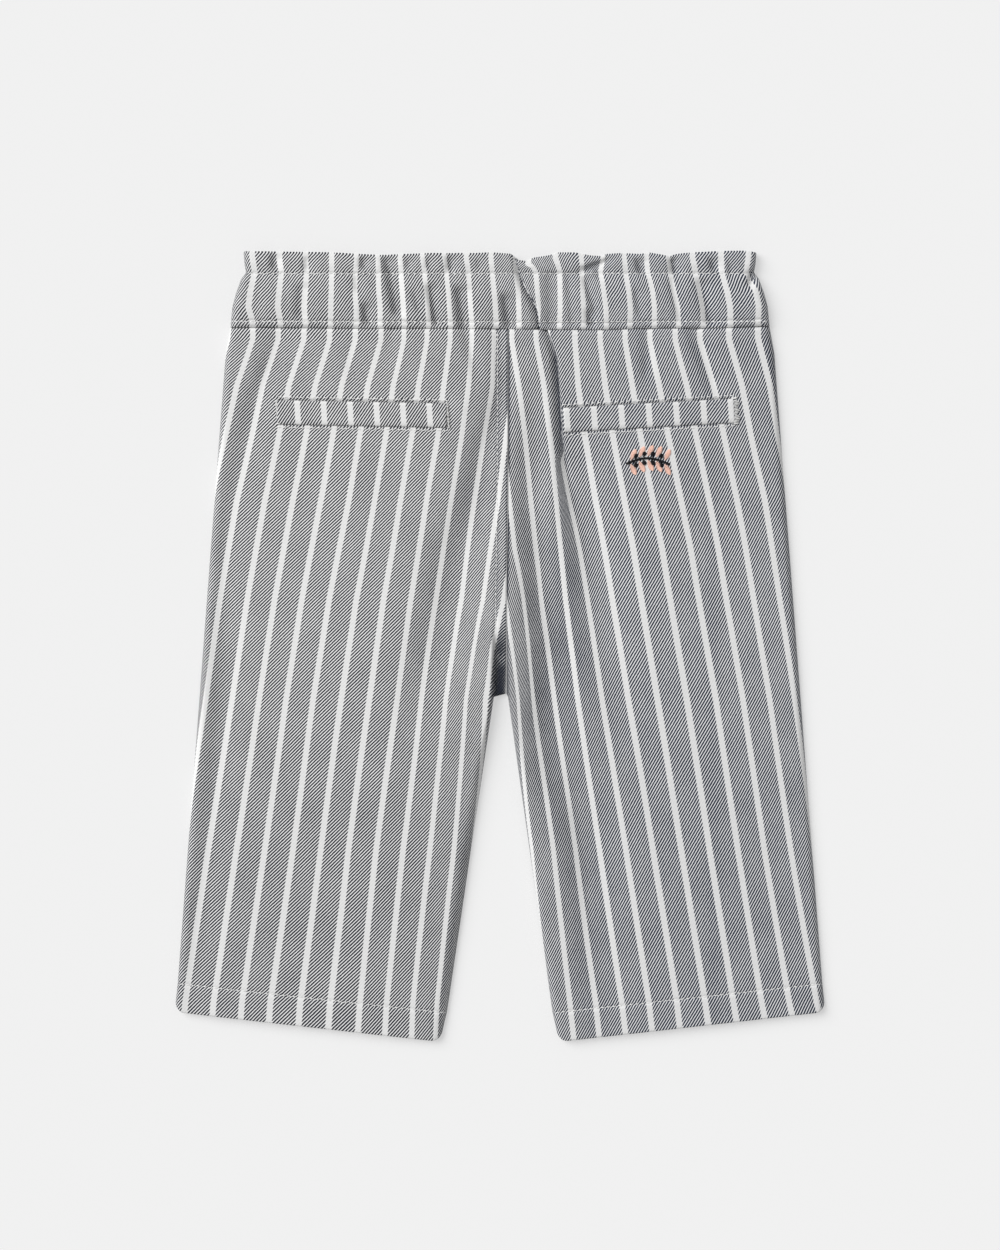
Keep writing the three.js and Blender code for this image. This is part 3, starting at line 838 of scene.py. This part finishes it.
gathers = [dict(zip(gather_columns, row)) for row in (
    (-92.3, 161, -92.3, 155, 1.2, 0.7),
    (-81.2, 148, -82.0, 134, 1.6, 0.5),
    (-79.0, 160, -79.0, 154, 1.2, 0.6),
    (-58.8, 152, -57.8, 145, 1.2, 0.5),
    (-55.8, 161, -55.8, 155, 1.2, 0.9),
    (-55.2, 140, -54.2, 132, 1.2, 0.9),
    (-46.4, 161, -41.8, 136, 1.5, 0.9),
    (-37.6, 160, -37.6, 155, 1.0, 0.5),
    (-35.4, 146, -33.0, 137, 0.9, 0.4),
    (-29.0, 160, -29.0, 155, 1.0, 0.5),
    (-28.4, 148, -25.8, 132, 1.2, 1.0),
    (-20.1, 161, -20.1, 154, 1.2, 0.9),
    (-16.6, 147, -14.6, 130, 1.5, 1.0),
    (-8.4, 160, -8.4, 155, 1.0, 0.4),
    (2.2, 144, 3.8, 131, 1.4, 1.0),
    (20.8, 153, 21.8, 131, 1.8, 0.5),
    (27.8, 153, 29.8, 132, 1.0, 0.4),
    (42.4, 160, 34.4, 154, 1.0, 1.0),
    (35.2, 151, 39.2, 137, 1.0, 0.6),
    (36.8, 138, 37.8, 132, 1.1, 0.9),
    (40.1, 156, 40.6, 151, 1.0, 0.6),
    (56.8, 160, 58.2, 153, 1.2, 0.9),
    (55.8, 146, 57.4, 136, 1.0, 0.5),
    (71.0, 161, 72.0, 153, 1.2, 1.1),
    (70.6, 151, 74.2, 133, 1.2, 0.5),
    (82.6, 150, 86.8, 132, 1.7, 0.9),
    (87.0, 159, 88.4, 154, 1.2, 0.8),
    (94.4, 158, 94.8, 152, 0.9, 0.4),
    (103.8, 154, 102.6, 148, 0.9, 1.2),
)]
gather_fade = 4.0             # a gather starts and ends over this length
gather_walls = {"deeper": 2.2, "left": 1.6, "right": 2.6}     # a gather's trough in its depths and widths
gather_pull = {"far": 0.55, "reach": 1.5}      # cloth drawn into a gather, in its depths and widths
# painted shade, as more navy, in each gather
gather_painted_shade = 0.13
pleat_walls = (2.2, 0.5)
# painted shade, as more navy, beside the pleat's crease
pleat_painted_shade = {"share": 0.4, "left": 0.3, "reach": 0.8}
pleat_edge = {"right": 0.35, "soft": 0.15}     # where the stripes of the pleat's far side begin
waist_grooves = {             # how deep each line of sewing lies in the waistband, and its reach
    "heading": (0.4, 0.6), "edge": (0.35, 0.5), "seam": (0.7, 0.7),
}
row_shift = {"far": 0.4, "soft": 0.2}          # how far the ribs miss each other across a row of stitches
ripples = {"back": 0.15, "front": 0.45, "weave": 0.3}         # between the gathers the cloth isn't quite even


def gather_place(gather, x, y):
    """Distance to the right of a gather's crease, and how full the gather is at that height."""
    tall = gather["y1"] - gather["y2"]
    lean = math.hypot(gather["x2"] - gather["x1"], tall) / tall
    across = (x - mix(gather["x1"], gather["x2"], (gather["y1"] - y) / tall)) / lean
    past = gather_fade / 2
    started = smooth((gather["y1"] + past - y) / gather_fade)
    return across, started * smooth((y - gather["y2"] + past) / gather_fade)


def waist_back_height(x, y):
    crown = along_table(waist_crown, "crown", y)
    crown = crown + ripples["back"] * np.sin(x / 1.7 + np.sin(x / 9)) * np.cos(x / 13 + y / 20)
    for gather in gathers:
        across, full = gather_place(gather, x, y)
        left, right = (gather_walls[wall] * gather["wide"] for wall in ("left", "right"))
        crown = crown - gather_walls["deeper"] * gather["deep"] * full * trough(across, left, right)
    crown = crown - along_table(pleat, "deep", y) * trough(x - along_table(pleat, "x", y), *pleat_walls)
    for line, line_y in (("heading", heading_stitch_y), ("edge", edge_stitch_y), ("seam", waist_seam_y)):
        crown = crown - hump(y - line_y, *waist_grooves[line])
    return crown


def waist_front_height(x, y):
    lift = 0.5 + 0.5 * np.sin(x / 1.6 + np.sin(x / 11))
    up = np.clip((y - waist_seam_y) / (top_y - waist_seam_y), 0, 1)
    return ripples["front"] * lift * np.sin(math.pi * up) ** 0.5


def waist_cut(x, y, facing):
    crease = along_table(pleat, "x", y)
    left = stripe_count(waist_stripes["left"], x, y)
    right = stripe_count(waist_stripes["right"], lapped(x, crease, pleat_lap, 1), y)
    stripes = mix(left, right, step(x - crease - pleat_edge["right"], pleat_edge["soft"]))
    across = stripes * stripe_pitch * facing
    far, soft = row_shift["far"], row_shift["soft"]
    along = y + far * step(y - heading_stitch_y, soft) - far * step(edge_stitch_y - y, soft)
    along = along + pucker(y - heading_stitch_y, x) + pucker(y - edge_stitch_y, x)
    hidden = across - (x + waist_hidden["middle"]) * facing
    to_right = smooth((x - waist_hidden["from"]) / waist_hidden["over"])
    share = mix(waist_hidden["left"], waist_hidden["right"], to_right)
    along = along + share * hidden * math.tan(rib_angle)
    along = along + ripples["weave"] * np.sin(x / 2.3 + 2 * np.sin(y / 6)) * np.sin(y / 4.1 + x / 11)
    if facing < 0:
        return across, along, 0 * x
    # Painted shade: more navy beside the pleat's crease and in the gathers, where they lie in shade.
    painted_shade = hump(x - crease + pleat_painted_shade["left"], pleat_painted_shade["share"], pleat_painted_shade["reach"])
    for gather in gathers:
        distance, full = gather_place(gather, x, y)
        deep, wide = gather["deep"], gather["wide"]
        across = across + gather_pull["far"] * deep * full * drawn_in(distance, gather_pull["reach"] * wide)
        painted_shade = painted_shade + gather_painted_shade * deep * full * trough(distance + wide, wide, wide)
    return across, along, painted_shade


def waist_sheet(name, rows, columns, height, facing):
    folds_at, levels = rows
    shares, turns = columns

    def place(i, j):
        share, turn = shares[i], turns[i]
        fold, level = folds_at[j], levels[j]
        edge = along_table(outseam, "half", level) - waist_roll * (1 - np.cos(turn))
        x = mix(-edge, edge, share)
        crown = height(x, level)
        z = mix(waist_lip[facing], crown, np.sin(turn))
        fall = smooth((level - heading_stitch_y) / (top_y - heading_stitch_y))
        y = level + np.where(fold < math.pi, strip_curl * np.sin(fold), 0)
        y = y - np.interp(x, top_edge["x"], top_edge["dip"]) * fall
        outward = np.where(share < 0.5, -1, 1)
        curled_x = x + outward * waist_roll * (math.pi / 2 - turn - np.cos(turn))
        cut = waist_cut(curled_x, np.where(fold > turned_under, 2 * top_y - level, level), facing)
        below_top, above_bottom = (heading_stitch_y - level, level - edge_stitch_y)
        in_channel = smooth(below_top / channel_fade) * smooth(above_bottom / channel_fade)
        thick = mix(2 * strip_curl, channel_thick, in_channel)
        if facing > 0:
            thick = np.minimum(thick, np.maximum(z - waist_inside, ply + 0.1))
            laid_x = lapped(x, along_table(pleat, "x", level), pleat_lap, 1)
        else:
            laid_x = x
        turned_in = thick / 2 * (1 - np.cos(fold))
        return (laid_x - outward * np.cos(turn) * turned_in, y + wave(x, y),
                z - facing * turned_in * np.sin(turn), *cut)

    return cloth_sheet(name, len(shares) - 1, len(levels) - 1, place, facing > 0,
                       striped_twill)


strip_top = top_y - strip_curl
strip_bottom = waist_seam_y + seam_gap
waist_back_rows = folded_rows(strip_bottom, strip_top, 14, (
    {"from": strip_top, "to": 155, "rows": 12},
    {"from": 155, "to": 151, "rows": 11},
    {"from": 151, "to": 135, "rows": 20},
    {"from": 135, "to": strip_bottom, "rows": 15},
))
waist_front_rows = folded_rows(strip_bottom, strip_top, 8, (
    {"from": strip_top, "to": strip_bottom, "rows": 26},
))
waist_back = waist_sheet("waistband_back_half", waist_back_rows,
                         curled_columns(({"from": 0, "to": 1, "columns": 360},), 6), waist_back_height, 1)
waist_front = waist_sheet("waistband_front_half", waist_front_rows,
                          curled_columns(({"from": 0, "to": 1, "columns": 180},), 6), waist_front_height, -1)
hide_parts("waistband_back")
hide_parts("waistband_front")

# ---- Pocket welts ----
# Each back pocket has a single welt, a folded strip of the twill set into the slot with its open edge
# up. It lies on the back, and its stripes miss those of the panel that it is sewn to.
welt_twill = twill("welt_twill")
welt_thick = 0.75
welt_base = 0.12              # height of the welt's edges over the back
welt_edge = {"wide": 0.9, "lower": 0.4, "ends": 1.5}      # the upper edge's width, and the others' slopes
welt_shift = 0.3              # the welt's ribs miss those of the back by this much
welt_open = {"deep": 1.3, "down": 1.2}         # over the slot the welt bridges from this far below it
welt_stripes = {              # x of the first stripe at the welt's top edge, the pitch, and the lean
    "left": {"first": -83.2, "pitch": 10.83, "lean": 0.055},
    "right": {"first": 27.1, "pitch": 11.22, "lean": 0.07},
}


def surface_of(piece):
    """The outer face of a piece of cloth, to lay other pieces on."""
    mesh = piece.data
    return BVHTree.FromPolygons([v.co for v in mesh.vertices], [p.vertices for p in mesh.polygons])


def drop(surface, x, y, facing=1):
    """The point and the outward normal where x, y meets a surface, seen from above or from below."""
    start = Vector((x * mm, y * mm, facing * 0.1))
    point, normal, _, _ = surface.ray_cast(start, Vector((0, 0, -facing)))
    return point, normal * (1 if normal.z * facing > 0 else -1)


back_surface = {leg_name: surface_of(back) for leg_name, back in backs.items()}
for leg_name, pocket in pockets.items():
    surface, stripes = back_surface[leg_name], welt_stripes[leg_name]
    columns, rows = 110, 18

    def place(i, j):
        sideways = (i / columns - 0.5) * pocket["wide"]
        up = (j / rows - 0.5) * welt_deep
        x, y = pocket_point(pocket, sideways, up)
        bridge = up > welt_deep / 2 - welt_open["deep"]
        below = zip(*pocket_point(pocket, sideways, up - welt_open["down"] * bridge))
        under = np.array([drop(surface, *spot)[0].z / mm for spot in below])
        to_edge = np.minimum(welt_deep / 2 - up, (welt_deep / 2 + up) * welt_edge["lower"])
        to_edge = np.minimum(to_edge, (pocket["wide"] / 2 - abs(sideways)) * welt_edge["ends"])
        z = under + welt_base + welt_thick * np.sqrt(smooth((to_edge + welt_base) / welt_edge["wide"]))
        x_level = x + stripes["lean"] * (up - welt_deep / 2)
        across = (x_level - stripes["first"]) / stripes["pitch"] * stripe_pitch
        return x, y, z, across, y + welt_shift, 0 * x

    welt = cloth_sheet(f"{leg_name}_pocket_welt", columns, rows, place, False, welt_twill)
    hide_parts(f"welt_{leg_name}")

# ---- Seam stitching ----
# White cotton thread: a row round the heading and one along the waistband's edge, one down the felled
# seat seam, one round each hem, and one above and below each welt.
stitch = {"long": 1.8, "thick": 0.42, "rise": 0.02}
hem_row = {"from_inner": 0.9, "from_outer": 0.7}          # where a hem's stitching starts and ends
waist_rows = ((heading_stitch_y, 103.4), (edge_stitch_y, 109.6))       # height and half length of each row
welt_rows = (welt_deep / 2 + 1.3, -welt_deep / 2 - 1.1)   # above and below a welt's middle line
seat_row = {"from": 129, "to": 4}


def yarn(name, dark, light, roughness, specular):
    """Cotton thread that goes from dark to light and back along its strands."""
    material, shader, start = new_material(name)
    strand = start.make("ShaderNodeTexCoord", {}, {}, 3).noise(2500, 2)
    material.node_tree.links.new(strand.shade(dark, light).link, shader.inputs["Base Color"])
    shader.inputs["Roughness"].default_value = roughness
    shader.inputs["Specular IOR Level"].default_value = specular
    return material


thread = yarn("white_thread", (0.64, 0.64, 0.63), (0.86, 0.86, 0.85), 0.7, 0.3)


def lay_thread(threads, ends, thick, rise):
    """One visible length of thread, a slim spindle between two spots that drop() found on the cloth."""
    (start, normal), (end, _) = ends
    along = end - start
    side = normal.cross(along).normalized() * thick / 2 * mm
    up = along.cross(side).normalized() * thick / 2 * mm
    centre = (start + end) / 2 + up.normalized() * rise * mm
    turn = Matrix((side, up, along / 2)).transposed().to_4x4()
    bmesh.ops.create_uvsphere(threads, u_segments=6, v_segments=5, radius=1,
                              matrix=Matrix.Translation(centre) @ turn)


def stitch_row(threads, surface, run, facing=1):
    """Even stitches along a run of x, y points on a surface."""
    run = np.array(run, float)
    reach = np.concatenate(([0], np.cumsum(np.hypot(*np.diff(run, axis=0).T))))
    count = int(reach[-1] / stitch_pitch)
    for k in range(count):
        middle = (k + 0.5) * reach[-1] / count
        ends = []
        for offset in (-0.5, 0.5):
            spot = middle + offset * stitch["long"]
            ends.append(drop(surface, *(np.interp(spot, reach, column) for column in run.T), facing))
        lay_thread(threads, ends, stitch["thick"], stitch["rise"])


def thread_piece(name, threads, material):
    mesh = bpy.data.meshes.new(name)
    bmesh.ops.recalc_face_normals(threads, faces=threads.faces)
    threads.to_mesh(mesh)
    threads.free()
    mesh.polygons.foreach_set("use_smooth", [True] * len(mesh.polygons))
    mesh.materials.append(material)
    piece = bpy.data.objects.new(name, mesh)
    scene.collection.objects.link(piece)
    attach(piece, "root")
    return piece


def straight(x1, y1, x2, y2):
    return [(mix(x1, x2, share), mix(y1, y2, share)) for share in np.linspace(0, 1, 60)]


def hem_run(leg):
    slope, inner, outer = (float(value) for value in leg_row(leg, np.array(hem_y + hem_depth)))
    side = leg["side"]
    ends = inner + side * hem_row["from_inner"], outer - side * hem_row["from_outer"]
    return [(x, hem_y + hem_depth + slope * abs(x - inner)) for x, _ in straight(ends[0], 0, ends[1], 0)]


waist_surface = {1: surface_of(waist_back), -1: surface_of(waist_front)}
for facing, name in ((1, "waist_back_stitches"), (-1, "waist_front_stitches")):
    threads = bmesh.new()
    for y, reach in waist_rows:
        stitch_row(threads, waist_surface[facing], straight(-reach, y, reach, y), facing)
    thread_piece(name, threads, thread)

for leg_name, leg in legs.items():
    threads = bmesh.new()
    stitch_row(threads, back_surface[leg_name], hem_run(leg))
    pocket = pockets[leg_name]
    for up in welt_rows:
        ends = [pocket_point(pocket, reach, up) for reach in (-pocket["wide"] / 2, pocket["wide"] / 2)]
        stitch_row(threads, back_surface[leg_name], straight(*ends[0], *ends[1]))
    if leg_name == "left":
        levels = np.linspace(seat_row["from"], seat_row["to"], 60)
        seat_run = [(float(along_table(seat_seam, "x", y)) - felled["wide"], y) for y in levels]
        stitch_row(threads, back_surface[leg_name], seat_run)
    thread_piece(f"{leg_name}_back_stitches", threads, thread)

for leg_name, leg in legs.items():
    threads = bmesh.new()
    stitch_row(threads, surface_of(fronts[leg_name]), hem_run(leg), -1)
    thread_piece(f"{leg_name}_front_stitches", threads, thread)

# ---- Bar tacks ----
# A short bar of close white zigzag stitches holds each end of a pocket's slot. The inner end of the
# right pocket is drawn into the tuck.
tacks = (
    {"leg": "left", "x1": -91.7, "y1": 101.0, "x2": -90.7, "y2": 91.4, "wide": 1.6, "pitch": 0.5},
    {"leg": "left", "x1": -21.7, "y1": 100.6, "x2": -20.9, "y2": 89.8, "wide": 1.4, "pitch": 0.6},
    {"leg": "right", "x1": 96.2, "y1": 102.0, "x2": 96.8, "y2": 91.4, "wide": 4.4, "pitch": 0.62},
)
tack_thread = {"thick": 0.5, "rise": 0.42, "lean": 0.18}
threads = bmesh.new()
for tack in tacks:
    surface = back_surface[tack["leg"]]
    count = int(math.hypot(tack["x2"] - tack["x1"], tack["y2"] - tack["y1"]) / tack["pitch"])
    for k in range(count + 1):
        x = mix(tack["x1"], tack["x2"], k / count)
        y = mix(tack["y1"], tack["y2"], k / count)
        uneven = 0.7 + 0.3 * math.sin(5 * k)
        sway = tack["wide"] / 2 * (1 if k % 2 else -1) * uneven
        ends = [drop(surface, x + offset, y + tack_thread["lean"] * offset) for offset in (-sway, sway)]
        lay_thread(threads, ends, tack_thread["thick"], tack_thread["rise"])
thread_piece("bar_tacks", threads, thread)

# ---- Embroidery ----
# A small sprig in stranded cotton under the right pocket: a bowed black stem with black buds, and
# pairs of pink leaves in satin stitch.
pink_dye, black_dye = (0.94, 0.60, 0.49), (0.004, 0.004, 0.005)
pink = yarn("pink_stranded_cotton", [0.85 * c for c in pink_dye], [1.1 * c for c in pink_dye], 0.55, 0.2)
black = yarn("black_stranded_cotton", black_dye, [2.5 * c for c in black_dye], 0.55, 0.2)
sprig = {"x": 60.3, "y": 76.0, "long": 17.5, "bow": 2.4}
leaf = {"long": 4.9, "wide": 2.3, "strands": 11, "thick": 0.5,
        "off_stem": 0.7, "lean": 64, "rise": 0.14}
bud = {"long": 2.2, "wide": 1.9, "strands": 6, "thick": 0.5,
       "off_stem": 0.5, "lean": 75, "rise": 0.2}
stem = {"strands": 26, "overlap": 1.9, "thick": 1.1, "rise": 0.2}
satin_form = {"past_stem": 0.2, "blunt": 0.7, "least": 0.12, "slant": 0.35}    # the form of each satin patch


def sprig_point(share):
    """A point of the stem: 0 at its left end, 1 at its right, bowed upwards."""
    return Vector((sprig["x"] + (share - 0.5) * sprig["long"],
                   sprig["y"] + sprig["bow"] * math.sin(math.pi * share) - 0.5 * sprig["bow"]))


def satin(threads, place, upper, shape):
    """A leaf-shaped patch of slanting strands on the stem's upper (1) or lower (-1) side."""
    root = sprig_point(place) + Vector((satin_form["past_stem"], shape["off_stem"] * upper))
    angle = math.radians(shape["lean"] * upper)
    forward = Vector((math.cos(angle), math.sin(angle)))
    sideways = Vector((-forward.y, forward.x))
    for k in range(shape["strands"]):
        share = (k + 0.5) / shape["strands"]
        half = shape["wide"] / 2 * math.sin(math.pi * share) ** satin_form["blunt"] + satin_form["least"]
        middle = root + forward * share * shape["long"]
        slant = forward * half * satin_form["slant"]
        ends = [middle + (sideways * reach + slant) for reach in (-half, half)]
        spots = [drop(back_surface["right"], *end) for end in ends]
        lay_thread(threads, spots, shape["thick"], shape["rise"])


leaves, stems = bmesh.new(), bmesh.new()
for share in (0.1, 0.3, 0.5, 0.7, 0.9):
    for upper in (1, -1):
        satin(leaves, share, upper, leaf)
for k in range(stem["strands"]):
    ends = [sprig_point(spot / stem["strands"]) for spot in (k, k + stem["overlap"])]
    lay_thread(stems, [drop(back_surface["right"], *end) for end in ends], stem["thick"], stem["rise"])
for share in (0.2, 0.4, 0.6, 0.8):
    for upper in (1, -1):
        satin(stems, share, upper, bud)
sprig_leaves = thread_piece("sprig_leaves", leaves, pink)
sprig_stem = thread_piece("sprig_stem", stems, black)
